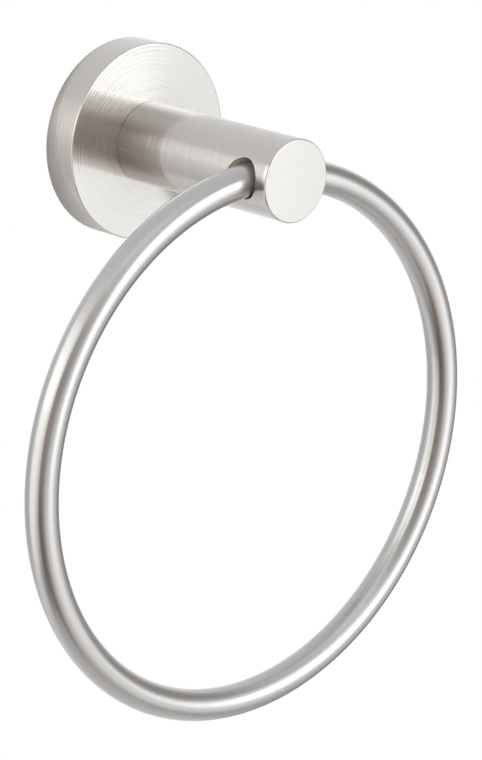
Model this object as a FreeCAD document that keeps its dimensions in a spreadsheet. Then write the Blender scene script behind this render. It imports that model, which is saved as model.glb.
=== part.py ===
import FreeCAD, Part
import os
import Sketcher

# Wall-mounted towel ring: a round flange, a solid post with a cross bore near its end,
# and a closed rod ring that hangs in the bore and swings.
#
# Every turned piece is drawn with Z as the distance from the wall, Y up and X to the right,
# and its Placement then turns that Z to the front of the finished part (-Y), with Z up.
# The part's origin is the centre of the flange's back, on the wall.

OUTPUT = "parts"

SIZES = [
    ("flange_diameter", 56.0, "outer diameter of the wall flange"),
    ("flange_depth", 11.2, "wall to the flange's front face"),
    ("flange_wall", 2.5, "thickness of the flange's rim"),
    ("flange_face", 3.0, "thickness of the flange's front"),
    ("flange_edge", 0.5, "chamfer round the flange's front"),
    ("flange_back_edge", 0.3, "chamfer round the flange's back"),
    ("post_diameter", 23.0, "diameter of the post"),
    ("projection", 71.0, "wall to the end of the post"),
    ("post_edge", 0.4, "chamfer round the post's end"),
    ("post_root_edge", 0.2, "chamfer where the post meets the flange"),
    ("bore_setback", 9.5, "post's end to the axis of the cross bore"),
    ("bore_diameter", 11.0, "cross bore that carries the ring"),
    ("bore_edge", 0.45, "chamfer at the mouths of the cross bore"),
    ("spigot_diameter", 12.0, "spigot that centres the post in the flange"),
    ("spigot_length", 2.6, "length of the spigot"),
    ("spigot_clearance", 0.05, "radial clearance round the spigot"),
    ("ring_diameter", 160.0, "outside diameter of the ring"),
    ("rod_diameter", 9.0, "thickness of the ring's rod"),
    ("hang_clearance", 0.3, "ring to the foot of the bore, at rest"),
    ("clamp_thread", 6.0, "thread of the screw that holds the post"),
    ("clamp_reach", 16.0, "length of that screw under its head"),
    ("clamp_head_diameter", 10.0, "its head"),
    ("clamp_head_height", 4.0, "height of its head"),
    ("clamp_key", 4.0, "hexagon socket of its head, across flats"),
    ("clamp_key_depth", 2.3, "depth of that socket"),
    ("tapping_spare", 3.0, "tapped hole beyond the screw's tip"),
    ("thread_clearance", 0.05, "radial clearance between a screw and its hole"),
    ("washer_diameter", 18.0, "washer under the screw's head"),
    ("washer_thickness", 1.6, "thickness of the washer"),
    ("washer_hole", 6.4, "hole of the washer"),
    ("plate_clearance", 0.3, "radial clearance between plate and flange"),
    ("plate_web", 2.5, "thickness of the wall plate where it is screwed on"),
    ("plate_depth", 6.4, "depth of the wall plate's rim"),
    ("plate_rim", 3.5, "radial thickness of that rim"),
    ("plate_opening", 14.0, "hole in the middle of the wall plate"),
    ("groove_height", 4.2, "wall to the middle of the plate's groove"),
    ("groove_depth", 1.8, "depth of the right-angled groove"),
    ("slot_spacing", 32.0, "spacing of the two wall screw slots"),
    ("slot_length", 8.0, "end-to-end length of a slot"),
    ("slot_width", 4.6, "width of a slot"),
    ("grub_thread", 4.0, "thread of the grub screw"),
    ("grub_key", 2.0, "hexagon socket of the grub screw, across flats"),
    ("grub_key_depth", 1.5, "depth of that socket"),
    ("grub_inset", 0.4, "grub screw's end below the flange's rim"),
    ("grub_tip_clearance", 0.1, "grub screw's cone to the groove"),
]

# Formulas in the sheet's names that more than one piece uses
FLANGE_R = "Sizes.flange_diameter / 2"
CUP_R = "(Sizes.flange_diameter / 2 - Sizes.flange_wall)"
CUP_FLOOR = "(Sizes.flange_depth - Sizes.flange_face)"
POST_R = "Sizes.post_diameter / 2"
BORE_R = "Sizes.bore_diameter / 2"
BORE_Z = "(Sizes.projection - Sizes.bore_setback)"
ROD_R = "Sizes.rod_diameter / 2"
RING_R = "((Sizes.ring_diameter - Sizes.rod_diameter) / 2)"
HEAD_SEAT = "(%s - Sizes.washer_thickness)" % CUP_FLOOR
CLAMP_TIP = "(%s + Sizes.clamp_reach)" % HEAD_SEAT
PLATE_R = "(%s - Sizes.plate_clearance)" % CUP_R
GROOVE_R = "(%s - Sizes.groove_depth)" % PLATE_R

# The ring curves down on its way out, so it rests on the feet of the bore's two mouths.
# The bore's foot is BORE_FOOT long each way, and the rod's middle line has dropped by SAG there.
BORE_FOOT = "(sqrt(pow({0}; 2) - pow({1}; 2)) - Sizes.bore_edge)".format(POST_R, BORE_R)
SAG = "({0} - sqrt(pow({0}; 2) - pow({1}; 2)))".format(RING_R, BORE_FOOT)
HANG = "({0} - {1} - {2} - Sizes.hang_clearance)".format(BORE_R, ROD_R, SAG)

doc = FreeCAD.newDocument("TowelRing")
sheet = doc.addObject("Spreadsheet::Sheet", "Sizes")
for row, (alias, value, note) in enumerate(SIZES, 1):
    sheet.set("A%d" % row, alias)
    sheet.set("B%d" % row, str(value))
    sheet.setAlias("B%d" % row, alias)
    sheet.set("C%d" % row, note)
doc.recompute()

FACING_FRONT = FreeCAD.Rotation(FreeCAD.Vector(1, 0, 0), 90)
FACING_DOWN = FreeCAD.Rotation(FreeCAD.Vector(1, 0, 0), 180)


def value_of(formula):
    return float(sheet.evalExpression(formula))


def new_body(label, rotation=FACING_FRONT):
    body = doc.addObject("PartDesign::Body", "Body_" + label)
    body.Label = label
    body.Placement = FreeCAD.Placement(FreeCAD.Vector(0, 0, 0), rotation)
    return body


def new_sketch(body, name, plane):
    sketch = body.newObject("Sketcher::SketchObject", name)
    origin_plane = [f for f in body.Origin.OriginFeatures if f.Role == plane][0]
    sketch.AttachmentSupport = [(origin_plane, "")]
    sketch.MapMode = "FlatFace"
    return sketch


def pin_point(sketch, geometry, point, x, y):
    """Fix one point of the sketch at two formulas, measured from its origin."""
    for kind, formula, axis in (("DistanceX", x, -2), ("DistanceY", y, -1)):
        if formula == "0":
            sketch.addConstraint(Sketcher.Constraint("PointOnObject", geometry, point, axis))
        else:
            index = sketch.addConstraint(
                Sketcher.Constraint(kind, -1, 1, geometry, point, value_of(formula)))
            sketch.setExpression("Constraints[%d]" % index, formula)


def draw_outline(sketch, points):
    """Closed outline of straight lines through points, each a pair of formulas."""
    corners = [FreeCAD.Vector(value_of(x), value_of(y), 0) for x, y in points]
    lines = [Part.LineSegment(corners[i], corners[(i + 1) % len(corners)]) for i in range(len(corners))]
    sketch.addGeometry(lines, False)
    for i in range(len(corners)):
        sketch.addConstraint(Sketcher.Constraint("Coincident", i, 2, (i + 1) % len(corners), 1))
    for i, (x, y) in enumerate(points):
        pin_point(sketch, i, 1, x, y)


def draw_circle(sketch, x, y, radius):
    centre = FreeCAD.Vector(value_of(x), value_of(y), 0)
    circle = sketch.addGeometry(Part.Circle(centre, FreeCAD.Vector(0, 0, 1), value_of(radius)), False)
    pin_point(sketch, circle, 3, x, y)
    index = sketch.addConstraint(Sketcher.Constraint("Radius", circle, value_of(radius)))
    sketch.setExpression("Constraints[%d]" % index, radius)


def draw_slot(sketch, inner, outer, radius):
    """Slot along X with round ends centred at two formulas on the X axis."""
    r = value_of(radius)
    near = FreeCAD.Vector(value_of(inner), 0, 0)
    far = FreeCAD.Vector(value_of(outer), 0, 0)
    up = FreeCAD.Vector(0, r, 0)
    normal = FreeCAD.Vector(0, 0, 1)
    quarter = 1.5707963267948966
    sketch.addGeometry([
        Part.ArcOfCircle(Part.Circle(far, normal, r), -quarter, quarter),
        Part.ArcOfCircle(Part.Circle(near, normal, r), quarter, 3 * quarter),
        Part.LineSegment(far + up, near + up),
        Part.LineSegment(near - up, far - up),
    ], False)
    for first, second in (((0, 2), (2, 1)), ((2, 2), (1, 1)), ((1, 2), (3, 1)), ((3, 2), (0, 1))):
        sketch.addConstraint(Sketcher.Constraint("Tangent", *first, *second))
    pin_point(sketch, 0, 3, outer, "0")
    pin_point(sketch, 1, 3, inner, "0")
    index = sketch.addConstraint(Sketcher.Constraint("Radius", 0, r))
    sketch.setExpression("Constraints[%d]" % index, radius)


def hexagon(across_flats):
    """Corners of a hexagon round the origin, with two flats square to Y."""
    half, tall = "%s / sqrt(3) / 2" % across_flats, "%s / 2" % across_flats
    tip = "%s / sqrt(3)" % across_flats
    return [(tip, "0"), (half, tall), ("-" + half, tall), ("-" + tip, "0"), ("-" + half, "-" + tall),
            (half, "-" + tall)]


def turn(body, name, points):
    """Revolve an outline of (radius, height) pairs about the body's Z axis."""
    sketch = new_sketch(body, name + "_outline", "XZ_Plane")
    draw_outline(sketch, points)
    return revolve(body, name, sketch)


def revolve(body, name, sketch):
    feature = body.newObject("PartDesign::Revolution", name)
    feature.Profile = (sketch, [""])
    feature.ReferenceAxis = (sketch, ["V_Axis"])
    feature.Angle = 360
    doc.recompute()
    return feature


def pocket(body, name, sketch, length, both_ways=False, reverse=False):
    """Cut the sketch out over a length, and make sure that the cut took something away."""
    before = body.Shape.Volume
    feature = body.newObject("PartDesign::Pocket", name)
    feature.Profile = (sketch, [""])
    feature.Type = "Length"
    feature.Midplane = both_ways
    feature.Reversed = reverse
    feature.setExpression("Length", length)
    doc.recompute()
    if body.Shape.Volume > before - 0.01:
        raise RuntimeError("%s cuts nothing" % name)
    return feature


def make_wall_flange():
    """Turned cup: its open back goes over the wall plate, its front carries the post."""
    body = new_body("wall_flange")
    seat_r = "(Sizes.spigot_diameter / 2 + Sizes.spigot_clearance)"
    turn(body, "flange_cup", [
        (seat_r, CUP_FLOOR),
        (CUP_R, CUP_FLOOR),
        (CUP_R, "0"),
        ("(%s - Sizes.flange_back_edge)" % FLANGE_R, "0"),
        (FLANGE_R, "Sizes.flange_back_edge"),
        (FLANGE_R, "(Sizes.flange_depth - Sizes.flange_edge)"),
        ("(%s - Sizes.flange_edge)" % FLANGE_R, "Sizes.flange_depth"),
        (seat_r, "Sizes.flange_depth"),
    ])
    hole = new_sketch(body, "grub_hole_outline", "XZ_Plane")
    draw_circle(hole, "0", "Sizes.groove_height", "Sizes.grub_thread / 2")
    pocket(body, "grub_hole", hole, FLANGE_R + " + 1", reverse=True)
    return body


def make_wall_plate():
    """Plate that is screwed to the wall: a slotted web inside a grooved rim."""
    body = new_body("wall_plate")
    rim_r = "(%s - Sizes.plate_rim)" % PLATE_R
    turn(body, "plate_profile", [
        ("Sizes.plate_opening / 2", "0"),
        (PLATE_R, "0"),
        (PLATE_R, "(Sizes.groove_height - Sizes.groove_depth)"),
        (GROOVE_R, "Sizes.groove_height"),
        (PLATE_R, "(Sizes.groove_height + Sizes.groove_depth)"),
        (PLATE_R, "Sizes.plate_depth"),
        (rim_r, "Sizes.plate_depth"),
        (rim_r, "Sizes.plate_web"),
        ("Sizes.plate_opening / 2", "Sizes.plate_web"),
    ])
    half_run = "(Sizes.slot_length - Sizes.slot_width) / 2"
    sketch = new_sketch(body, "slot_outline", "XY_Plane")
    draw_slot(sketch, "(Sizes.slot_spacing / 2 - %s)" % half_run,
              "(Sizes.slot_spacing / 2 + %s)" % half_run, "Sizes.slot_width / 2")
    slot = pocket(body, "slot", sketch, "Sizes.plate_web * 2", both_ways=True)
    pair = body.newObject("PartDesign::PolarPattern", "slot_pair")
    pair.Originals = [slot]
    pair.Axis = (sketch, ["N_Axis"])
    pair.Angle = 360
    pair.Occurrences = 2
    body.Tip = pair
    doc.recompute()
    return body


def make_post():
    """Solid bar with a spigot and a tapped hole at its root and a chamfered cross bore."""
    body = new_body("post")
    spigot_r = "Sizes.spigot_diameter / 2"
    thread_r = "Sizes.clamp_thread / 2"
    spigot_end = "(Sizes.flange_depth - Sizes.spigot_length)"
    hole_end = "(%s + Sizes.tapping_spare)" % CLAMP_TIP
    turn(body, "post_bar", [
        (thread_r, spigot_end),
        (spigot_r, spigot_end),
        (spigot_r, "Sizes.flange_depth"),
        ("(%s - Sizes.post_root_edge)" % POST_R, "Sizes.flange_depth"),
        (POST_R, "(Sizes.flange_depth + Sizes.post_root_edge)"),
        (POST_R, "(Sizes.projection - Sizes.post_edge)"),
        ("(%s - Sizes.post_edge)" % POST_R, "Sizes.projection"),
        ("0", "Sizes.projection"),
        ("0", "(%s + %s / tan(59 deg))" % (hole_end, thread_r)),
        (thread_r, hole_end),
    ])
    sketch = new_sketch(body, "bore_outline", "YZ_Plane")
    draw_circle(sketch, "0", BORE_Z, BORE_R)
    bore = pocket(body, "cross_bore", sketch, "Sizes.post_diameter * 2", both_ways=True)

    half_width = value_of("Sizes.post_diameter") / 4
    mouths = [
        "Edge%d" % (i + 1) for i, edge in enumerate(bore.Shape.Edges)
        if edge.BoundBox.XMin * edge.BoundBox.XMax > 0
        and abs(edge.BoundBox.Center.x) > half_width
        and edge.BoundBox.ZLength > value_of("Sizes.post_edge") * 2
        and not isinstance(edge.Curve, (Part.Line, Part.Circle))
    ]
    chamfer = body.newObject("PartDesign::Chamfer", "bore_mouths")
    chamfer.Base = (bore, mouths)
    chamfer.setExpression("Size", "Sizes.bore_edge")
    doc.recompute()
    return body


def make_ring():
    """Closed rod ring, drawn about its own centre and hung in the cross bore."""
    body = new_body("ring")
    sketch = new_sketch(body, "rod_section", "XZ_Plane")
    draw_circle(sketch, RING_R, "0", ROD_R)
    revolve(body, "ring_rod", sketch)
    body.setExpression("Placement.Base.y", "-" + BORE_Z)
    body.setExpression("Placement.Base.z", "-%s - %s" % (HANG, RING_R))
    return body


def make_clamp_washer():
    body = new_body("clamp_washer")
    turn(body, "washer", [
        ("Sizes.washer_hole / 2", HEAD_SEAT),
        ("Sizes.washer_diameter / 2", HEAD_SEAT),
        ("Sizes.washer_diameter / 2", CUP_FLOOR),
        ("Sizes.washer_hole / 2", CUP_FLOOR),
    ])
    return body


def make_clamp_screw():
    """Low-head socket screw from inside the flange into the post."""
    body = new_body("clamp_screw")
    shank_r = "(Sizes.clamp_thread / 2 - Sizes.thread_clearance)"
    head_r = "Sizes.clamp_head_diameter / 2"
    head_end = "(%s - Sizes.clamp_head_height)" % HEAD_SEAT
    bevel = "Sizes.clamp_thread / 12"
    turn(body, "screw_blank", [
        ("0", head_end),
        ("(%s - %s)" % (head_r, bevel), head_end),
        (head_r, "(%s + %s)" % (head_end, bevel)),
        (head_r, HEAD_SEAT),
        (shank_r, HEAD_SEAT),
        (shank_r, "(%s - %s)" % (CLAMP_TIP, bevel)),
        ("(%s - %s)" % (shank_r, bevel), CLAMP_TIP),
        ("0", CLAMP_TIP),
    ])
    sketch = new_sketch(body, "clamp_socket_outline", "XY_Plane")
    sketch.setExpression("AttachmentOffset.Base.z", head_end)
    doc.recompute()
    draw_outline(sketch, hexagon("Sizes.clamp_key"))
    pocket(body, "clamp_socket", sketch, "Sizes.clamp_key_depth", reverse=True)
    return body


def make_grub_screw():
    """Cone-point screw through the foot of the flange's rim into the plate's groove."""
    body = new_body("grub_screw", FACING_DOWN)
    screw_r = "(Sizes.grub_thread / 2 - Sizes.thread_clearance)"
    tip_r = "(%s + Sizes.grub_tip_clearance * sqrt(2))" % GROOVE_R
    length = "(%s - Sizes.grub_inset - %s)" % (FLANGE_R, tip_r)
    turn(body, "grub_blank", [
        ("0", "0"),
        (screw_r, screw_r),
        (screw_r, length),
        ("0", length),
    ])
    sketch = new_sketch(body, "grub_socket_outline", "XY_Plane")
    sketch.setExpression("AttachmentOffset.Base.z", length)
    doc.recompute()
    draw_outline(sketch, hexagon("Sizes.grub_key"))
    pocket(body, "grub_socket", sketch, "Sizes.grub_key_depth")
    body.setExpression("Placement.Base.y", "-Sizes.groove_height")
    body.setExpression("Placement.Base.z", "-" + tip_r)
    return body


pieces = [
    make_wall_flange(),
    make_wall_plate(),
    make_post(),
    make_clamp_washer(),
    make_clamp_screw(),
    make_grub_screw(),
    make_ring(),
]
doc.recompute()

for item in doc.Objects:
    if "Invalid" in item.State or "Error" in item.State:
        raise RuntimeError("%s failed: %s" % (item.Name, item.State))
for piece in pieces:
    if piece.Shape.isNull() or not piece.Shape.isValid() or len(piece.Shape.Solids) != 1:
        raise RuntimeError("%s has no single valid solid" % piece.Label)

os.makedirs(OUTPUT, exist_ok=True)
for piece in pieces:
    piece.Shape.exportStep(os.path.join(OUTPUT, piece.Label + ".step"))
    box = piece.Shape.BoundBox
    print("%-14s %9.1f mm3  x %.2f..%.2f  y %.2f..%.2f  z %.2f..%.2f" % (
        piece.Label, piece.Shape.Volume, box.XMin, box.XMax, box.YMin, box.YMax, box.ZMin, box.ZMax))
print("pivot height %.4f mm, bore axis %.2f mm from the wall" % (-value_of(HANG), value_of(BORE_Z)))
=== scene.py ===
import math

import bmesh
import bpy
from mathutils import Matrix, Vector


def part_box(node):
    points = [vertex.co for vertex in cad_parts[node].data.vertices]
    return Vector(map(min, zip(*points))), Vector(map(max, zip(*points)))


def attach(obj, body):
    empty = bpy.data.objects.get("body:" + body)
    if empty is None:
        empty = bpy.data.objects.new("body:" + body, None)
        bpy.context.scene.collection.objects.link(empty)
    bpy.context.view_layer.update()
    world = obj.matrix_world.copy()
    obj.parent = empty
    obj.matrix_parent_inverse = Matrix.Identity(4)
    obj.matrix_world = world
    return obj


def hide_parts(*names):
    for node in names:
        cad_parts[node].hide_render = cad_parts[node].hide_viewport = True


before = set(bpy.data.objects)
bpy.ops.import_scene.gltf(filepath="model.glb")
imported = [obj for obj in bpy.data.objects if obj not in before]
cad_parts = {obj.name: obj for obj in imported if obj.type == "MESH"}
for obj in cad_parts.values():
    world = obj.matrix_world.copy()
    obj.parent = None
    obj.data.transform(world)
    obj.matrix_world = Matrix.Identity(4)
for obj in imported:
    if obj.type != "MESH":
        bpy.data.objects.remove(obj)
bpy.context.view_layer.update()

# Lengths are in metres. X is to the right, -Y is out of the wall and Z is up.
MM = 0.001
WALL_BODY = "wall_mount"
RING_BODY = "hanging_ring"

# Sizes read from the frame
flange_low, flange_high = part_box("wall_flange")
post_low, post_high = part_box("post")
ring_low, ring_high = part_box("ring")
plate_low, plate_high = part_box("wall_plate")
washer_low, washer_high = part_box("clamp_washer")
clamp_low, clamp_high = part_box("clamp_screw")
grub_low, grub_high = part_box("grub_screw")
FLANGE_R = flange_high.x
FLANGE_DEPTH = -flange_low.y
POST_R = post_high.x
POST_END = -post_low.y
SPIGOT_END = -post_high.y
ROD_R = (ring_high.y - ring_low.y) / 2
RING_R = (ring_high.x - ring_low.x) / 2 - ROD_R
RING_Y = (ring_low.y + ring_high.y) / 2
RING_Z = (ring_low.z + ring_high.z) / 2
PLATE_R = plate_high.x
PLATE_DEPTH = -plate_low.y
WASHER_R = washer_high.x
WASHER_NEAR = -washer_high.y
WASHER_FAR = -washer_low.y
HEAD_R = clamp_high.x
HEAD_END = -clamp_high.y
CLAMP_TIP = -clamp_low.y
GRUB_R = grub_high.x
GRUB_Y = -(grub_low.y + grub_high.y) / 2
GRUB_FOOT = grub_low.z
GRUB_TIP = grub_high.z

# Sizes that no box shows
FLANGE_WALL = 2.5 * MM
FLANGE_FACE = 3.0 * MM
SPIGOT_R = 6.0 * MM
SPIGOT_GAP = 0.05 * MM
BORE_R = 5.5 * MM
BORE_MARGIN = 2.2 * MM
TAPPED_R = 3.0 * MM
TAPPED_SPARE = 3.0 * MM
DRILL_HALF_ANGLE = math.radians(59)
GRUB_HOLE_R = 2.0 * MM
PLATE_WEB = 2.5 * MM
PLATE_RIM = 3.5 * MM
PLATE_HOLE_R = 7.0 * MM
GROOVE = 1.8 * MM
SLOT_PLACE = 16.0 * MM
SLOT_LENGTH = 8.0 * MM
SLOT_WIDTH = 4.6 * MM
WASHER_HOLE_R = 3.2 * MM
CLAMP_SHANK_R = 2.95 * MM
CLAMP_NECK = 1.8 * MM
CLAMP_PITCH = 1.0 * MM
CLAMP_RIDGE = 0.55 * MM
CLAMP_BEVEL = 0.5 * MM
CLAMP_KEY = 4.0 * MM
CLAMP_KEY_DEPTH = 2.3 * MM
KNURL_DEPTH = 0.12 * MM
KNURL_STEP = 3
GRUB_PITCH = 0.7 * MM
GRUB_RIDGE = 0.35 * MM
GRUB_BEVEL = 0.25 * MM
GRUB_CONE_INSET = 0.2 * MM
GRUB_KEY = 2.0 * MM
GRUB_KEY_DEPTH = 1.5 * MM

# Radii of the softened corners
FLANGE_INSIDE_SOFT = 0.6 * MM
FLANGE_LIP_SOFT = 0.2 * MM
FLANGE_BACK_SOFT = 0.25 * MM
FLANGE_FRONT_SOFT = 0.4 * MM
POST_FOOT_SOFT = 0.2 * MM
POST_END_SOFT = 0.5 * MM
BORE_SOFT = 0.45 * MM
PLATE_BACK_SOFT = 0.2 * MM
PLATE_RIM_SOFT = 0.3 * MM
PLATE_INSIDE_SOFT = 0.5 * MM
WASHER_SOFT = 0.1 * MM
WASHER_DOMED = 0.35 * MM
HEAD_SOFT = 0.2 * MM

# Points closer than MERGE become one, and a place within TOUCH of a surface is on it
MERGE = 0.001 * MM
TOUCH = 0.01 * MM

# A screw ridge goes from foot to crest and back, at these shares of its pitch
RIDGE = ((0.06, False), (0.44, True), (0.56, True), (0.94, False))

# The camera of the photograph, found from the outlines of flange, post and ring. Its angles are in degrees,
# and its lens and sensor in millimetres.
CAMERA_PLACE = (-0.5308, -0.6038, 0.1509)
CAMERA_YAW = 44.03
CAMERA_PITCH = 15.37
CAMERA_ROLL = 3.65
CAMERA_LENS = 135.84
CAMERA_SENSOR = 36.0
CAMERA_NEAREST = 10 * MM


def only(obj):
    """Make one object the selected and active one."""
    bpy.ops.object.select_all(action="DESELECT")
    obj.select_set(True)
    bpy.context.view_layer.objects.active = obj


def edit(obj):
    only(obj)
    bpy.ops.object.mode_set(mode="EDIT")


def leave_edit():
    bpy.ops.object.mode_set(mode="OBJECT")


def apply_place(obj):
    only(obj)
    bpy.ops.object.transform_apply(location=True, rotation=True, scale=True)


def close_mesh(obj):
    """Merge the seam and the poles and turn the faces outward."""
    edit(obj)
    bpy.ops.mesh.select_all(action="SELECT")
    bpy.ops.mesh.remove_doubles(threshold=MERGE)
    bpy.ops.mesh.normals_make_consistent(inside=False)
    leave_edit()


def finish_mesh(obj, sharp=25.0):
    """Close the mesh and shade its round faces smooth, up to an angle in degrees."""
    close_mesh(obj)
    apply_place(obj)
    bpy.ops.object.shade_smooth_by_angle(angle=math.radians(sharp))
    weigh = obj.modifiers.new("weighted_normals", "WEIGHTED_NORMAL")
    weigh.keep_sharp = True
    weigh.weight = 100
    bpy.ops.object.modifier_apply(modifier=weigh.name)


def rounded(corners, steps=4):
    """Profile points from corners of (radius, distance from the wall), where a third value rounds one."""
    points = []
    for i, corner in enumerate(corners):
        if len(corner) == 2:
            points.append(corner)
            continue
        soft = corner[2]
        here = Vector(corner[:2])
        back = (Vector(corners[i - 1][:2]) - here).normalized()
        ahead = (Vector(corners[(i + 1) % len(corners)][:2]) - here).normalized()
        half = back.angle(ahead) / 2
        start = here + back * soft / math.tan(half)
        end = here + ahead * soft / math.tan(half)
        centre = here + (back + ahead).normalized() * soft / math.sin(half)
        for k in range(steps + 1):
            ray = (start - centre).normalized().slerp((end - centre).normalized(), k / steps)
            points.append(tuple(centre + ray * soft))
    return points


def turned(name, profile, steps):
    """Turn a closed profile of (radius, distance from the wall) points about the post's axis."""
    r, depth = profile[0]
    bpy.ops.object.select_all(action="DESELECT")
    bpy.ops.mesh.primitive_plane_add(size=MM, location=(r, -depth, 0))
    obj = bpy.context.object
    obj.name = name
    apply_place(obj)
    edit(obj)
    bpy.ops.mesh.select_all(action="SELECT")
    bpy.ops.mesh.merge(type="CENTER")
    for next_r, next_depth in profile[1:] + profile[:1]:
        step = (next_r - r, depth - next_depth, 0)
        bpy.ops.mesh.extrude_region_move(TRANSFORM_OT_translate={"value": step})
        r, depth = next_r, next_depth
    bpy.ops.mesh.select_all(action="SELECT")
    bpy.ops.mesh.remove_doubles(threshold=MERGE)
    bpy.ops.mesh.select_all(action="SELECT")
    bpy.ops.mesh.spin(steps=steps, angle=math.tau, center=(0, 0, 0), axis=(0, 1, 0))
    leave_edit()
    close_mesh(obj)
    return obj


def cutter(outlines):
    """Cutting tool: outlines with the same number of points, joined one after the other and closed."""
    shape = bmesh.new()
    loops = [[shape.verts.new(point) for point in outline] for outline in outlines]
    for near, far in zip(loops, loops[1:]):
        for i in range(len(near)):
            j = (i + 1) % len(near)
            shape.faces.new((near[i], near[j], far[j], far[i]))
    shape.faces.new(loops[0])
    shape.faces.new(loops[-1])
    bmesh.ops.recalc_face_normals(shape, faces=shape.faces[:])
    mesh = bpy.data.meshes.new("cutter")
    shape.to_mesh(mesh)
    shape.free()
    tool = bpy.data.objects.new("cutter", mesh)
    bpy.context.scene.collection.objects.link(tool)
    return tool


def prism(outline, near, far):
    """Cutting tool: an outline of (x, z) points carried from one distance from the wall to another."""
    return cutter([[(x, -depth, z) for x, z in outline] for depth in (near, far)])


def hexagon(across_flats):
    """Corners of a hexagon with two flats square to Z."""
    tip = across_flats / math.sqrt(3)
    return [(tip * math.cos(math.tau * i / 6), tip * math.sin(math.tau * i / 6)) for i in range(6)]


def slot_outline(middle, length, width, steps=16):
    """Slot along X with round ends."""
    points = []
    for side in (1, -1):
        for k in range(steps + 1):
            turn = math.radians(-90 * side + 180 * k / steps)
            x = middle + side * (length - width) / 2 + math.cos(turn) * width / 2
            points.append((x, math.sin(turn) * width / 2))
    return points


def cut(obj, tool):
    """Take the tool's shape out of the object, and remove the tool."""
    only(obj)
    hollow = obj.modifiers.new("cut", "BOOLEAN")
    hollow.operation = "DIFFERENCE"
    hollow.solver = "EXACT"
    hollow.object = tool
    bpy.ops.object.modifier_apply(modifier=hollow.name)
    bpy.data.objects.remove(tool)


def ridges(radius, depth, pitch, start, end):
    """Profile points of a screw's ridges, between two distances from the wall."""
    count = int((end - start) / pitch)
    step = (end - start) / count
    points = []
    for i in range(count):
        at = start + i * step
        for share, crest in RIDGE:
            points.append((radius if crest else radius - depth, at + share * step))
    return points


def make_flange():
    """Cup with a straight rim, a flat front and a hole for the post's spigot."""
    seat_r = SPIGOT_R + SPIGOT_GAP
    cup_r = FLANGE_R - FLANGE_WALL
    cup_floor = FLANGE_DEPTH - FLANGE_FACE
    profile = rounded([
        (seat_r, cup_floor),
        (cup_r, cup_floor, FLANGE_INSIDE_SOFT),
        (cup_r, 0, FLANGE_LIP_SOFT),
        (FLANGE_R, 0, FLANGE_BACK_SOFT),
        (FLANGE_R, FLANGE_DEPTH, FLANGE_FRONT_SOFT),
        (seat_r, FLANGE_DEPTH),
    ])
    flange = turned("flange_cup", profile, steps=320)
    drill_length = 8 * MM
    bpy.ops.object.select_all(action="DESELECT")
    bpy.ops.mesh.primitive_cylinder_add(
        vertices=48, radius=GRUB_HOLE_R, depth=drill_length, location=(0, -GRUB_Y, MM - FLANGE_R))
    cut(flange, bpy.context.object)
    finish_mesh(flange)
    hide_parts("wall_flange")
    return flange


def bore_tool():
    """Shape of the cross bore with its softened mouths, both ends outside the post."""
    around = 144
    arc_steps = 6
    arc_start = 20
    arc_end = 90
    end_x = POST_R + 4 * MM
    flare_r = BORE_R + BORE_SOFT * 1.6
    # Radius, and height over the post's surface, from outside to inside
    mouth = [(flare_r, None), (flare_r, BORE_SOFT)]
    for k in range(arc_steps + 1):
        turn = math.radians(arc_start + (arc_end - arc_start) * k / arc_steps)
        mouth.append((BORE_R + BORE_SOFT - BORE_SOFT * math.sin(turn), BORE_SOFT * (math.cos(turn) - 1)))
    sections = [(-1, r, h) for r, h in mouth] + [(1, r, h) for r, h in reversed(mouth)]
    outlines = []
    for side, radius, height in sections:
        outline = []
        for i in range(around):
            angle = math.tau * i / around
            z = radius * math.sin(angle)
            x = end_x if height is None else math.sqrt(POST_R ** 2 - z ** 2) + height
            outline.append((side * x, RING_Y + radius * math.cos(angle), z))
        outlines.append(outline)
    return cutter(outlines)


def make_post():
    """Round bar with a spigot at its root, a tapped hole and the cross bore."""
    bore_from_wall = -RING_Y
    reach = BORE_R + BORE_MARGIN
    hole_end = CLAMP_TIP + TAPPED_SPARE
    profile = rounded([
        (TAPPED_R, SPIGOT_END),
        (SPIGOT_R, SPIGOT_END),
        (SPIGOT_R, FLANGE_DEPTH),
        (POST_R, FLANGE_DEPTH, POST_FOOT_SOFT),
        # These two keep the small faces of the bore off the long plain ones
        (POST_R, bore_from_wall - reach),
        (POST_R, bore_from_wall + reach),
        (POST_R, POST_END, POST_END_SOFT),
        (0, POST_END),
        (0, hole_end + TAPPED_R / math.tan(DRILL_HALF_ANGLE)),
        (TAPPED_R, hole_end),
    ])
    post = turned("post_bar", profile, steps=384)
    cut(post, bore_tool())
    finish_mesh(post, sharp=15.0)
    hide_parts("post")
    return post


def make_ring():
    """Closed ring of round rod: one round section, spun about the ring's middle."""
    bpy.ops.object.select_all(action="DESELECT")
    bpy.ops.mesh.primitive_circle_add(
        vertices=64, radius=ROD_R, fill_type="NOTHING", location=(RING_R, RING_Y, RING_Z))
    ring = bpy.context.object
    ring.name = "ring_rod"
    apply_place(ring)
    edit(ring)
    bpy.ops.mesh.select_all(action="SELECT")
    bpy.ops.mesh.spin(steps=480, angle=math.tau, center=(0, RING_Y, RING_Z), axis=(0, 1, 0))
    leave_edit()
    finish_mesh(ring, sharp=60.0)
    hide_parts("ring")
    return ring


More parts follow.
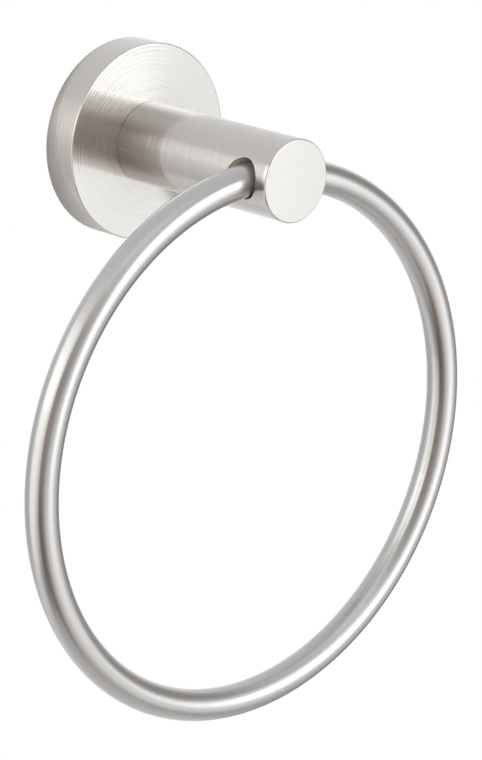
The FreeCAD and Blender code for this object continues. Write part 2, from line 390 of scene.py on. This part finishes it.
def make_plate():
    """Slotted web inside a grooved rim, open in the middle for the screw's head."""
    rim_r = PLATE_R - PLATE_RIM
    profile = rounded([
        (PLATE_HOLE_R, 0, PLATE_BACK_SOFT),
        (PLATE_R, 0, PLATE_BACK_SOFT),
        (PLATE_R, GRUB_Y - GROOVE),
        (PLATE_R - GROOVE, GRUB_Y),
        (PLATE_R, GRUB_Y + GROOVE),
        (PLATE_R, PLATE_DEPTH, PLATE_BACK_SOFT),
        (rim_r, PLATE_DEPTH, PLATE_RIM_SOFT),
        (rim_r, PLATE_WEB, PLATE_INSIDE_SOFT),
        (PLATE_HOLE_R, PLATE_WEB, PLATE_RIM_SOFT),
    ])
    plate = turned("plate_disc", profile, steps=240)
    for side in (1, -1):
        outline = slot_outline(side * SLOT_PLACE, SLOT_LENGTH, SLOT_WIDTH)
        cut(plate, prism(outline, -MM, PLATE_WEB + MM))
    finish_mesh(plate)
    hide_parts("wall_plate")
    return plate


def make_washer():
    """Turned washer, more rounded on the side that doesn't meet the flange."""
    profile = rounded([
        (WASHER_HOLE_R, WASHER_NEAR, WASHER_SOFT),
        (WASHER_R, WASHER_NEAR, WASHER_DOMED),
        (WASHER_R, WASHER_FAR, WASHER_SOFT),
        (WASHER_HOLE_R, WASHER_FAR, WASHER_SOFT),
    ])
    washer = turned("washer_disc", profile, steps=160)
    finish_mesh(washer)
    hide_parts("clamp_washer")
    return washer


def knurl(screw, steps):
    """Press one column of points in every few on the head's side inwards."""
    for vertex in screw.data.vertices:
        place = vertex.co
        column = round(math.atan2(place.z, place.x) / math.tau * steps)
        on_side = math.hypot(place.x, place.z) > HEAD_R - TOUCH
        if on_side and column % KNURL_STEP == 0:
            place.x *= 1 - KNURL_DEPTH / HEAD_R
            place.z *= 1 - KNURL_DEPTH / HEAD_R


def make_clamp_screw():
    """Socket screw with a knurled head and a threaded shank."""
    steps = 144
    thread = ridges(
        CLAMP_SHANK_R, CLAMP_RIDGE, CLAMP_PITCH, WASHER_NEAR + CLAMP_NECK, CLAMP_TIP - CLAMP_BEVEL)
    profile = rounded([
        (0, HEAD_END),
        (HEAD_R - CLAMP_BEVEL, HEAD_END, HEAD_SOFT),
        (HEAD_R, HEAD_END + CLAMP_BEVEL),
        (HEAD_R, WASHER_NEAR - CLAMP_BEVEL),
        (HEAD_R - HEAD_SOFT, WASHER_NEAR),
        (CLAMP_SHANK_R, WASHER_NEAR),
        *thread,
        (CLAMP_SHANK_R - CLAMP_BEVEL, CLAMP_TIP),
        (0, CLAMP_TIP),
    ])
    screw = turned("clamp_bolt", profile, steps)
    knurl(screw, steps)
    cut(screw, prism(hexagon(CLAMP_KEY), HEAD_END - MM, HEAD_END + CLAMP_KEY_DEPTH))
    finish_mesh(screw)
    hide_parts("clamp_screw")
    return screw


def make_grub_screw():
    """Threaded grub screw with a cone point, turned upright under the flange."""
    length = GRUB_TIP - GRUB_FOOT
    cone_r = GRUB_R - GRUB_CONE_INSET
    profile = [
        (0, 0),
        (cone_r, cone_r),
        *ridges(GRUB_R, GRUB_RIDGE, GRUB_PITCH, GRUB_R, length - GRUB_BEVEL),
        (GRUB_R - GRUB_BEVEL, length),
        (0, length),
    ]
    screw = turned("grub_bolt", profile, steps=96)
    cut(screw, prism(hexagon(GRUB_KEY), length - GRUB_KEY_DEPTH, length + MM))
    only(screw)
    screw.rotation_euler = (math.pi / 2, 0, 0)
    screw.location = (0, -GRUB_Y, GRUB_TIP)
    apply_place(screw)
    finish_mesh(screw)
    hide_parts("grub_screw")
    return screw


def add_node(tree, kind, place, **values):
    """Add a shader node and set its own settings."""
    node = tree.nodes.new(kind)
    node.location = place
    for name, value in values.items():
        setattr(node, name, value)
    return node


def feed(tree, socket, source):
    """Give a socket a plain number or the output of another node."""
    if isinstance(source, (int, float)):
        socket.default_value = source
    else:
        tree.links.new(source, socket)


def maths(tree, operation, place, *values):
    """Result of a Math node on numbers or other nodes' outputs."""
    node = add_node(tree, "ShaderNodeMath", place, operation=operation)
    for socket, value in zip(node.inputs, values):
        feed(tree, socket, value)
    return node.outputs[0]


def noise_at(tree, place, x, y, z, detail=2.0):
    """Noise at a point given by three values."""
    spot = add_node(tree, "ShaderNodeCombineXYZ", place)
    for socket, value in zip(spot.inputs, (x, y, z)):
        feed(tree, socket, value)
    noise = add_node(tree, "ShaderNodeTexNoise", (place[0] + 200, place[1]))
    noise.inputs["Scale"].default_value = 1.0
    noise.inputs["Detail"].default_value = detail
    tree.links.new(spot.outputs[0], noise.inputs["Vector"])
    return noise.outputs["Fac"]


def from_axis(tree, x, z):
    """Distance from the Y axis."""
    xx = maths(tree, "MULTIPLY", (-500, 350), x, x)
    zz = maths(tree, "MULTIPLY", (-500, 200), z, z)
    return maths(tree, "SQRT", (-200, 250), maths(tree, "ADD", (-350, 250), xx, zz))


def lines_group(name, **inputs):
    """Empty shader group for a brush pattern, with its inputs and its three strengths of line."""
    group = bpy.data.node_groups.new(name, "ShaderNodeTree")
    for label, value in inputs.items():
        socket = group.interface.new_socket(label, in_out="INPUT", socket_type="NodeSocketFloat")
        socket.default_value = value
    for label in ("Fine", "Broad", "Patch"):
        group.interface.new_socket(label, in_out="OUTPUT", socket_type="NodeSocketFloat")
    enter = add_node(group, "NodeGroupInput", (-1300, 0))
    leave = add_node(group, "NodeGroupOutput", (900, 0))
    place = add_node(group, "ShaderNodeTexCoord", (-1300, 300))
    return group, enter.outputs, leave.inputs, place.outputs["Object"]


def turned_lines_group():
    """Fine lines of a lathe brush, round the Y axis, on round and flat faces alike."""
    group, enter, leave, place = lines_group("turned_lines", Spacing=0.3 * MM, Arc=2.0)
    split = add_node(group, "ShaderNodeSeparateXYZ", (-700, 300))
    group.links.new(place, split.inputs[0])
    radius = from_axis(group, split.outputs["X"], split.outputs["Z"])
    # Never zero, because the next two nodes divide by it
    safe = maths(group, "MAXIMUM", (-50, 400), radius, TOUCH)
    along_x = maths(group, "DIVIDE", (100, 500), split.outputs["X"], safe)
    along_z = maths(group, "DIVIDE", (100, 350), split.outputs["Z"], safe)
    across = maths(group, "ADD", (100, 200), radius, split.outputs["Y"])
    # Name, width of a line against the spacing, its length against the arc, and detail
    kinds = (("Fine", 1.0, 1.0, 2.0), ("Broad", 2.6, 0.8, 2.0), ("Patch", 40.0, 0.5, 3.0))
    for k, (label, wider, longer, detail) in enumerate(kinds):
        row = -200 * k
        spacing = maths(group, "MULTIPLY", (200, row + 100), enter["Spacing"], wider)
        lines = maths(group, "DIVIDE", (300, row + 200), across, spacing)
        arc = maths(group, "MULTIPLY", (300, row + 100), enter["Arc"], longer)
        x = maths(group, "MULTIPLY", (400, row + 300), along_x, arc)
        z = maths(group, "MULTIPLY", (400, row), along_z, arc)
        group.links.new(noise_at(group, (500, row + 200), x, lines, z, detail), leave[label])
    return group


def straight_lines_group():
    """Fine lines of a belt brush that run straight across a flat face."""
    group, enter, leave, place = lines_group("straight_lines", Spacing=0.3 * MM, Length=20 * MM, Slope=0.0)
    turn = add_node(group, "ShaderNodeVectorRotate", (-500, 300), rotation_type="Y_AXIS")
    group.links.new(place, turn.inputs["Vector"])
    group.links.new(enter["Slope"], turn.inputs["Angle"])
    split = add_node(group, "ShaderNodeSeparateXYZ", (-300, 300))
    group.links.new(turn.outputs[0], split.inputs[0])
    # Name, and width of a line against the spacing
    for k, (label, wider) in enumerate((("Fine", 1.0), ("Broad", 3.6), ("Patch", 16.0))):
        row = -200 * k
        spacing = maths(group, "MULTIPLY", (0, row + 50), enter["Spacing"], wider)
        x = maths(group, "DIVIDE", (100, row + 250), split.outputs["X"], enter["Length"])
        z = maths(group, "DIVIDE", (100, row + 100), split.outputs["Z"], spacing)
        group.links.new(noise_at(group, (300, row + 200), x, 0.0, z), leave[label])
    return group


def rod_lines_group():
    """Fine lines of a brush drawn round the ring's rod, so each line crosses the rod."""
    group, enter, leave, place = lines_group("rod_lines", Spacing=0.3 * MM, Arc=1.5)
    centred = add_node(group, "ShaderNodeMapping", (-900, 300))
    centred.inputs["Location"].default_value = (0, -RING_Y, -RING_Z)
    group.links.new(place, centred.inputs["Vector"])
    split = add_node(group, "ShaderNodeSeparateXYZ", (-700, 300))
    group.links.new(centred.outputs[0], split.inputs[0])
    below = maths(group, "MULTIPLY", (-500, 500), split.outputs["Z"], -1.0)
    along = maths(group, "ARCTAN2", (-350, 500), split.outputs["X"], below)
    metres = maths(group, "MULTIPLY", (-200, 500), along, RING_R)
    radius = from_axis(group, split.outputs["X"], split.outputs["Z"])
    out = maths(group, "DIVIDE", (0, 200), maths(group, "SUBTRACT", (-100, 200), radius, RING_R), ROD_R)
    front = maths(group, "DIVIDE", (0, 50), split.outputs["Y"], ROD_R)
    # Name, width of a line against the spacing, and detail
    kinds = (("Fine", 1.0, 2.0), ("Broad", 3.6, 2.0), ("Patch", 40.0, 3.0))
    for k, (label, wider, detail) in enumerate(kinds):
        row = -200 * k
        spacing = maths(group, "MULTIPLY", (100, row + 100), enter["Spacing"], wider)
        lines = maths(group, "DIVIDE", (200, row + 200), metres, spacing)
        x = maths(group, "MULTIPLY", (300, row + 300), out, enter["Arc"])
        y = maths(group, "MULTIPLY", (300, row + 100), front, enter["Arc"])
        group.links.new(noise_at(group, (500, row + 200), x, y, lines, detail), leave[label])
    return group


TURNED_LINES = turned_lines_group()
STRAIGHT_LINES = straight_lines_group()
ROD_LINES = rod_lines_group()

# Most of a noise texture lies between these values
NOISE_LOW = 0.3
NOISE_HIGH = 0.7


def mapped(tree, source, low, high, place):
    """Noise taken to the range from low to high."""
    node = add_node(tree, "ShaderNodeMapRange", place)
    node.inputs["From Min"].default_value = NOISE_LOW
    node.inputs["From Max"].default_value = NOISE_HIGH
    node.inputs["To Min"].default_value = low
    node.inputs["To Max"].default_value = high
    tree.links.new(source, node.inputs["Value"])
    return node.outputs["Result"]


def two_tones(tree, source, colour, darker, lighter, place):
    """Colour that goes from a darker to a lighter share of one tone."""
    mix = add_node(tree, "ShaderNodeMix", place, data_type="RGBA")
    tree.links.new(source, mix.inputs["Factor"])
    mix.inputs["A"].default_value = (*[value * darker for value in colour], 1.0)
    mix.inputs["B"].default_value = (*[value * lighter for value in colour], 1.0)
    return mix.outputs["Result"]


def metal_material(name, metallic=1.0):
    material = bpy.data.materials.new(name)
    material.use_nodes = True
    tree = material.node_tree
    shader = tree.nodes["Principled BSDF"]
    shader.inputs["Metallic"].default_value = metallic
    return material, tree, shader.inputs


# The crests between the brush lines are smoother than the steel, and the clear coat stands for them
CREST_ROUGHNESS = 0.09
ROUGHNESS_CHANGE = 0.03


def brushed_steel(name, colour, group, settings, roughness, gloss_stretch, spin, relief, tone, crests,
                  slope=None, metallic=1.0):
    """Satin steel. Spin turns the stretched gloss, in turns, and a slope gives it one straight direction.

    Relief is the height of the lines, tone their change of colour and crests the IOR of the coat.
    """
    material, tree, inputs = metal_material(name, metallic)
    links = tree.links
    inputs["Anisotropic"].default_value = gloss_stretch
    inputs["Anisotropic Rotation"].default_value = spin
    inputs["Coat Weight"].default_value = 1.0
    inputs["Coat Roughness"].default_value = CREST_ROUGHNESS
    inputs["Coat IOR"].default_value = crests
    if slope is None:
        tangent = add_node(tree, "ShaderNodeTangent", (-200, -400), direction_type="RADIAL", axis="Y")
    else:
        tangent = add_node(tree, "ShaderNodeCombineXYZ", (-200, -400))
        tangent.inputs["X"].default_value = math.sin(slope)
        tangent.inputs["Z"].default_value = math.cos(slope)
    links.new(tangent.outputs[0], inputs["Tangent"])
    lines = add_node(tree, "ShaderNodeGroup", (-900, 0), node_tree=group)
    for label, value in settings.items():
        lines.inputs[label].default_value = value
    bump = add_node(tree, "ShaderNodeBump", (-300, -200))
    bump.inputs["Strength"].default_value = 1.0
    bump.inputs["Distance"].default_value = relief
    links.new(lines.outputs["Broad"], bump.inputs["Height"])
    links.new(bump.outputs[0], inputs["Normal"])
    fine = maths(tree, "MULTIPLY", (-750, 300), lines.outputs["Fine"], 0.5)
    broad = maths(tree, "MULTIPLY", (-750, 200), lines.outputs["Broad"], 0.5)
    blend = mapped(tree, maths(tree, "ADD", (-600, 300), fine, broad), 0.0, 1.0, (-450, 300))
    links.new(two_tones(tree, blend, colour, 1 - tone, 1 + tone, (-300, 300)), inputs["Base Color"])
    smoother = roughness * (1 - ROUGHNESS_CHANGE)
    rougher = roughness * (1 + ROUGHNESS_CHANGE)
    links.new(mapped(tree, lines.outputs["Patch"], smoother, rougher, (-450, 100)), inputs["Roughness"])
    return material


CRYSTALS_PER_METRE = 700.0
CLOUDS_PER_METRE = 180.0


def plated_steel(name, colour, roughness):
    """Dull zinc plate with the faint patches of its crystals."""
    material, tree, inputs = metal_material(name)
    links = tree.links
    place = add_node(tree, "ShaderNodeTexCoord", (-900, 0))
    crystals = add_node(tree, "ShaderNodeTexVoronoi", (-650, 100))
    crystals.inputs["Scale"].default_value = CRYSTALS_PER_METRE
    links.new(place.outputs["Object"], crystals.inputs["Vector"])
    clouds = add_node(tree, "ShaderNodeTexNoise", (-650, -200))
    clouds.inputs["Scale"].default_value = CLOUDS_PER_METRE
    links.new(place.outputs["Object"], clouds.inputs["Vector"])
    links.new(two_tones(tree, crystals.outputs["Color"], colour, 0.94, 1.04, (-300, 200)),
              inputs["Base Color"])
    links.new(mapped(tree, clouds.outputs["Fac"], roughness * 0.85, roughness * 1.15, (-300, -100)),
              inputs["Roughness"])
    return material


# Colours, and the settings of the brush patterns
STEEL = (0.385, 0.355, 0.332)
ROD_STEEL = (0.399, 0.389, 0.392)
# The bore's pale tone, far lighter than the steel, is painted light inside the bore
BORE_PAINTED_LIGHT_TONE = (0.95, 0.90, 0.86)
SCREW_TONE = (0.50, 0.50, 0.50)
ZINC = (0.66, 0.67, 0.68)
LINE_SPACING = 0.22 * MM
# The lines across the post's end slope by this much
END_SLOPE = math.radians(-8.2)
TURNED = {"Spacing": LINE_SPACING, "Arc": 2.0}
ROUND_ROD = {"Spacing": LINE_SPACING, "Arc": 1.5}
ACROSS_END = {"Spacing": LINE_SPACING, "Length": 12 * MM, "Slope": END_SLOPE}
QUARTER = 0.25

flange_steel = brushed_steel(
    "flange_steel", STEEL, TURNED_LINES, TURNED, roughness=0.29, gloss_stretch=0.785, spin=QUARTER,
    relief=0.09 * MM, tone=0.05, crests=2.5)
post_steel = brushed_steel(
    "post_steel", STEEL, TURNED_LINES, TURNED, roughness=0.29, gloss_stretch=0.785, spin=QUARTER,
    relief=0.09 * MM, tone=0.06, crests=2.5)
rod_steel = brushed_steel(
    "rod_steel", ROD_STEEL, ROD_LINES, ROUND_ROD, roughness=0.30, gloss_stretch=0.72, spin=0.0,
    relief=0.005 * MM, tone=0.03, crests=1.6)
end_steel = brushed_steel(
    "end_steel", STEEL, STRAIGHT_LINES, ACROSS_END, roughness=0.29, gloss_stretch=0.785, spin=0.0,
    relief=0.02 * MM, tone=0.03, crests=2.5, slope=END_SLOPE)
# Inside the bore: a rougher drilled finish, with a pale non-metal tone as painted light where little light
# reaches
rough_bore_painted_light = brushed_steel(
    "rough_bore_painted_light", BORE_PAINTED_LIGHT_TONE, TURNED_LINES, TURNED, roughness=0.50, gloss_stretch=0.0, spin=0.0,
    relief=0.005 * MM, tone=0.04, crests=1.5, metallic=0.0)
screw_steel = brushed_steel(
    "screw_steel", SCREW_TONE, TURNED_LINES, TURNED, roughness=0.33, gloss_stretch=0.3, spin=QUARTER,
    relief=0.004 * MM, tone=0.03, crests=1.5)
zinc_plate = plated_steel("zinc_plate", ZINC, roughness=0.42)


def give(obj, *materials):
    obj.data.materials.clear()
    for material in materials:
        obj.data.materials.append(material)


# Places in the post's list of materials, and how squarely a face of its end looks out of the wall
END_FACE = 1
INSIDE = 2
FACING = 0.99


def sort_faces(post):
    """Give the post's end a finish of its own, and its inside a rougher one whose pale, non-metal tone is
    painted light in the bore.
    """
    for face in post.data.polygons:
        middle = face.center
        if face.normal.y < -FACING and middle.y < -POST_END + TOUCH:
            face.material_index = END_FACE
        elif math.hypot(middle.x, middle.z) < POST_R - POST_END_SOFT:
            face.material_index = INSIDE


flange = make_flange()
give(flange, flange_steel)
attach(flange, WALL_BODY)

post = make_post()
give(post, post_steel, end_steel, rough_bore_painted_light)
sort_faces(post)
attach(post, WALL_BODY)

ring = make_ring()
give(ring, rod_steel)
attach(ring, RING_BODY)

plate = make_plate()
give(plate, zinc_plate)
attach(plate, WALL_BODY)

for make_piece in (make_washer, make_clamp_screw, make_grub_screw):
    piece = make_piece()
    give(piece, screw_steel)
    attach(piece, WALL_BODY)


# Point that the lamps face
AIM = Vector((0, -0.05, -0.06))
# Watts for each square metre that make a lamp's face as bright as white
LAMP_WATTS = 4.0
WHITE = (1.0, 1.0, 1.0, 1.0)


def towards(azimuth, height):
    """Direction from the part: azimuth 0 is out of the wall (-Y), 90 is to the right."""
    a = math.radians(azimuth)
    h = math.radians(height)
    return Vector((math.sin(a) * math.cos(h), -math.cos(a) * math.cos(h), math.sin(h)))


def soft_box(name, azimuth, height, wide, tall, distance, glow):
    """Area lamp that faces the part, given by where it stands, the angles it spans and its glow."""
    lamp = bpy.data.lights.new(name, "AREA")
    lamp.shape = "RECTANGLE"
    lamp.size = 2 * distance * math.tan(math.radians(wide / 2))
    lamp.size_y = 2 * distance * math.tan(math.radians(tall / 2))
    lamp.color = [value / max(glow) for value in glow]
    lamp.energy = max(glow) * LAMP_WATTS * lamp.size * lamp.size_y
    obj = bpy.data.objects.new(name, lamp)
    bpy.context.scene.collection.objects.link(obj)
    obj.location = AIM + towards(azimuth, height) * distance
    obj.rotation_euler = (AIM - obj.location).to_track_quat("-Z", "Y").to_euler()
    obj.visible_camera = False


# The left box has a bright middle, a larger, dimmer cloth and a faint halo
soft_box("right_box", 28.0, 10.0, 60, 56, 0.92, (0.394, 0.454, 0.482))
soft_box("left_box_middle", -94.6, 23.7, 66, 31, 0.52, (0.812, 0.837, 0.790))
soft_box("left_box_cloth", -93.0, -7.0, 56, 68, 0.54, (0.590, 0.601, 0.528))
soft_box("left_box_halo", -100.0, 5.0, 80, 60, 0.60, (0.074, 0.088, 0.083))

# What the room adds to its white and takes from it: a name, azimuth and height of the patch's middle, how far
# from there it is full and where it ends, all in degrees, and its colour
BRIGHT_PATCHES = [
    ("over_right_box", 28, 12, 5, 24, (2.615, 2.634, 2.500)),
    ("under_right_box", 25, -20, 5, 25, (0.542, 0.555, 0.514)),
    ("over_camera", -23, 49, 10, 30, (0.356, 0.364, 0.342)),
    ("floor_behind", -150, -55, 10, 24, (0.363, 0.350, 0.317)),
    ("floor_in_front", 0, -30, 5, 35, (0.298, 0.266, 0.207)),
]
DARK_PATCHES = [
    ("behind_camera", -43, 17, 8, 38, (0.465, 0.518, 0.581)),
    ("under_camera", -49, -42, 5, 42, (0.835, 0.880, 0.908)),
    ("right_side", 77, 19, 12, 38, (0.521, 0.578, 0.624)),
    ("low_right_side", 104, -28, 10, 32, (0.643, 0.701, 0.741)),
    ("low_behind", -163, -28, 8, 41, (0.246, 0.243, 0.241)),
    ("floor_at_right", 42, -56, 5, 32, (0.316, 0.346, 0.387)),
    ("left_of_camera", -70, 0, 5, 22, (0.407, 0.475, 0.474)),
]


def make_room():
    """White room for the camera. The metal sees bright and dark patches in it, as in the studio."""
    world = bpy.data.worlds.new("white_room")
    bpy.context.scene.world = world
    world.use_nodes = True
    tree = world.node_tree
    links = tree.links
    shade = tree.nodes["Background"]
    place = add_node(tree, "ShaderNodeTexCoord", (-1200, 0))
    base = add_node(tree, "ShaderNodeRGB", (-900, 300))
    base.outputs[0].default_value = WHITE
    tone = base.outputs[0]
    patches = [(patch, "ADD") for patch in BRIGHT_PATCHES] + [(patch, "SUBTRACT") for patch in DARK_PATCHES]
    for k, ((name, azimuth, height, inner, outer, colour), blend) in enumerate(patches):
        row = -200 * k
        dot = add_node(tree, "ShaderNodeVectorMath", (-900, row), operation="DOT_PRODUCT")
        links.new(place.outputs["Generated"], dot.inputs[0])
        dot.inputs[1].default_value = towards(azimuth, height)
        fade = add_node(tree, "ShaderNodeMapRange", (-700, row), interpolation_type="SMOOTHSTEP")
        fade.inputs["From Min"].default_value = math.cos(math.radians(outer))
        fade.inputs["From Max"].default_value = math.cos(math.radians(inner))
        links.new(dot.outputs["Value"], fade.inputs["Value"])
        mix = add_node(tree, "ShaderNodeMix", (-500, row), data_type="RGBA", blend_type=blend, label=name)
        links.new(fade.outputs["Result"], mix.inputs["Factor"])
        links.new(tone, mix.inputs["A"])
        mix.inputs["B"].default_value = (*colour, 1.0)
        tone = mix.outputs["Result"]
    ray = add_node(tree, "ShaderNodeLightPath", (-500, 500)).outputs
    seen = maths(tree, "MAXIMUM", (-300, 500), ray["Is Camera Ray"], ray["Is Transmission Ray"])
    white = add_node(tree, "ShaderNodeMix", (-100, 200), data_type="RGBA")
    links.new(seen, white.inputs["Factor"])
    links.new(tone, white.inputs["A"])
    white.inputs["B"].default_value = WHITE
    links.new(white.outputs["Result"], shade.inputs["Color"])
    shade.inputs["Strength"].default_value = 1.0


# The floor and the card are stage and no part of the object. The card is a sheet that puts painted shade into
# the flange rim's reflection.
FLOOR_SIZE = 1.6
FLOOR_Z = -1.5
FLOOR_TONE = (0.85, 0.85, 0.85)
# Grey of the card, painted shade that the flange's rim mirrors
RIM_SHADE_CARD_TONE = (0.66, 0.65, 0.64)
MATT_ROUGHNESS = 0.9


def matt_paint(name, colour):
    """Matt paint of one colour."""
    material = bpy.data.materials.new(name)
    material.use_nodes = True
    shader = material.node_tree.nodes["Principled BSDF"]
    shader.inputs["Base Color"].default_value = (*colour, 1.0)
    shader.inputs["Roughness"].default_value = MATT_ROUGHNESS
    return material


def make_floor():
    """Plain pale floor, well below the part, white to the camera."""
    bpy.ops.object.select_all(action="DESELECT")
    bpy.ops.mesh.primitive_plane_add(size=FLOOR_SIZE, location=(0, 0, FLOOR_Z))
    floor = bpy.context.object
    floor.name = "pale_floor"
    apply_place(floor)
    material = matt_paint("pale_floor", FLOOR_TONE)
    tree = material.node_tree
    matt = tree.nodes["Principled BSDF"]
    glow = add_node(tree, "ShaderNodeEmission", (0, -300))
    glow.inputs["Color"].default_value = WHITE
    ray = add_node(tree, "ShaderNodeLightPath", (-200, 400))
    mix = add_node(tree, "ShaderNodeMixShader", (300, 0))
    tree.links.new(ray.outputs["Is Camera Ray"], mix.inputs[0])
    tree.links.new(matt.outputs[0], mix.inputs[1])
    tree.links.new(glow.outputs[0], mix.inputs[2])
    tree.links.new(mix.outputs[0], tree.nodes["Material Output"].inputs["Surface"])
    floor.data.materials.append(material)


def make_rim_shade_card():
    """Small grey card round the lower left of the flange's back edge, which only the metal mirrors: painted
    shade in the rim's reflection there.
    """
    outer_r = 31.3 * MM
    inner_r = 28.2 * MM
    left = 2.5 * MM
    down = 3.0 * MM
    behind = 2.0 * MM
    bpy.ops.object.select_all(action="DESELECT")
    bpy.ops.mesh.primitive_circle_add(vertices=96, radius=outer_r, fill_type="NOTHING",
                                      rotation=(math.pi / 2, 0, 0), location=(-left, behind, -down))
    card = bpy.context.object
    card.name = "rim_shade_card"
    apply_place(card)
    edit(card)
    bpy.ops.mesh.select_all(action="SELECT")
    bpy.ops.mesh.extrude_region_move(TRANSFORM_OT_translate={"value": (left, 0, down)})
    share = inner_r / outer_r
    bpy.ops.transform.resize(value=(share, 1, share), center_override=(0, behind, 0))
    leave_edit()
    card.data.materials.append(matt_paint("rim_shade_card", RIM_SHADE_CARD_TONE))
    card.visible_camera = False
    card.visible_diffuse = False
    card.visible_transmission = False
    card.visible_shadow = False


def make_camera():
    """Camera at the photograph's place, turned by its yaw, pitch and roll."""
    lens = bpy.data.cameras.new("photo_camera")
    lens.lens = CAMERA_LENS
    lens.sensor_width = CAMERA_SENSOR
    lens.clip_start = CAMERA_NEAREST
    camera = bpy.data.objects.new("photo_camera", lens)
    bpy.context.scene.collection.objects.link(camera)
    camera.matrix_world = (
        Matrix.Translation(CAMERA_PLACE)
        @ Matrix.Rotation(math.radians(-CAMERA_YAW), 4, "Z")
        @ Matrix.Rotation(math.radians(90 - CAMERA_PITCH), 4, "X")
        @ Matrix.Rotation(math.radians(CAMERA_ROLL), 4, "Z")
    )
    bpy.context.scene.camera = camera


make_room()
make_floor()
make_rim_shade_card()
make_camera()
bpy.context.scene.view_settings.view_transform = "Standard"
